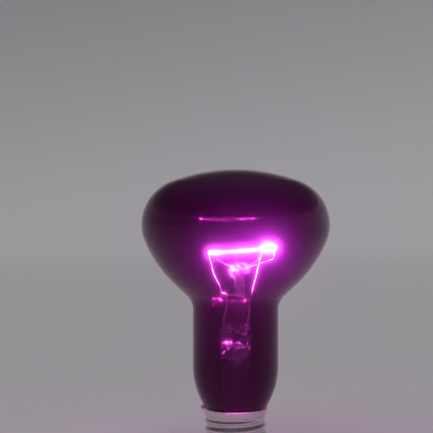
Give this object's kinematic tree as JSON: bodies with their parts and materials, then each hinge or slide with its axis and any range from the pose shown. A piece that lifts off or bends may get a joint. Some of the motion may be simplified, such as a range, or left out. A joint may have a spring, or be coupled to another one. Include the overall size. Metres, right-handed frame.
{
  "type": "reptile night heat bulb",
  "caption": "Purple glass night heat bulb: mushroom head on a long neck, hooked filament on a glass stem inside, Edison screw cap below.",
  "frame": {"origin": "tip of the solder on the centre contact, on the bulb's axis, which is the lowest point", "axes": "+Z along the axis from the cap to the dome, +X through the right lead-in wire, -Y towards the viewer of the picture"},
  "size_m": [0.08, 0.08, 0.1272],
  "materials": {
    "purple_glass": "deep purple, see-through, polished",
    "clear_glass": "clear, polished",
    "lit_tungsten": "white hot",
    "nickel_wire": "drawn wire",
    "support_metal": "drawn wire",
    "copper_clad": "copper-clad, dull",
    "copper_wire": "bare copper",
    "mica": "satin mica sheet",
    "cap_metal": "rolled, satin",
    "black_glass": "glossy black glass",
    "brass_plate": "satin",
    "solder": "cast, slightly dull",
    "cement": "matt baked cement"
  },
  "bodies": {
    "root": {"glass_envelope": "purple_glass", "glass_stem": "clear_glass", "exhaust_tube": "clear_glass", "button_rod": "clear_glass", "filament": "lit_tungsten", "support_wire_1": "support_metal", "support_wire_2": "support_metal", "support_wire_3": "support_metal", "support_wire_4": "support_metal", "support_wire_5": "support_metal", "lead_wire_left": "nickel_wire", "lead_wire_right": "nickel_wire", "seal_wire_left": "copper_clad", "seal_wire_right": "copper_clad", "side_wire": "copper_wire", "centre_wire_upper": "copper_wire", "centre_wire_lower": "copper_wire", "fuse_link": "nickel_wire", "mica_disc": "mica", "cap_shell": "cap_metal", "cap_insulator": "black_glass", "centre_contact": "brass_plate", "centre_solder": "solder", "rim_solder": "solder", "basing_cement": "cement"}
  },
  "joints": []
}
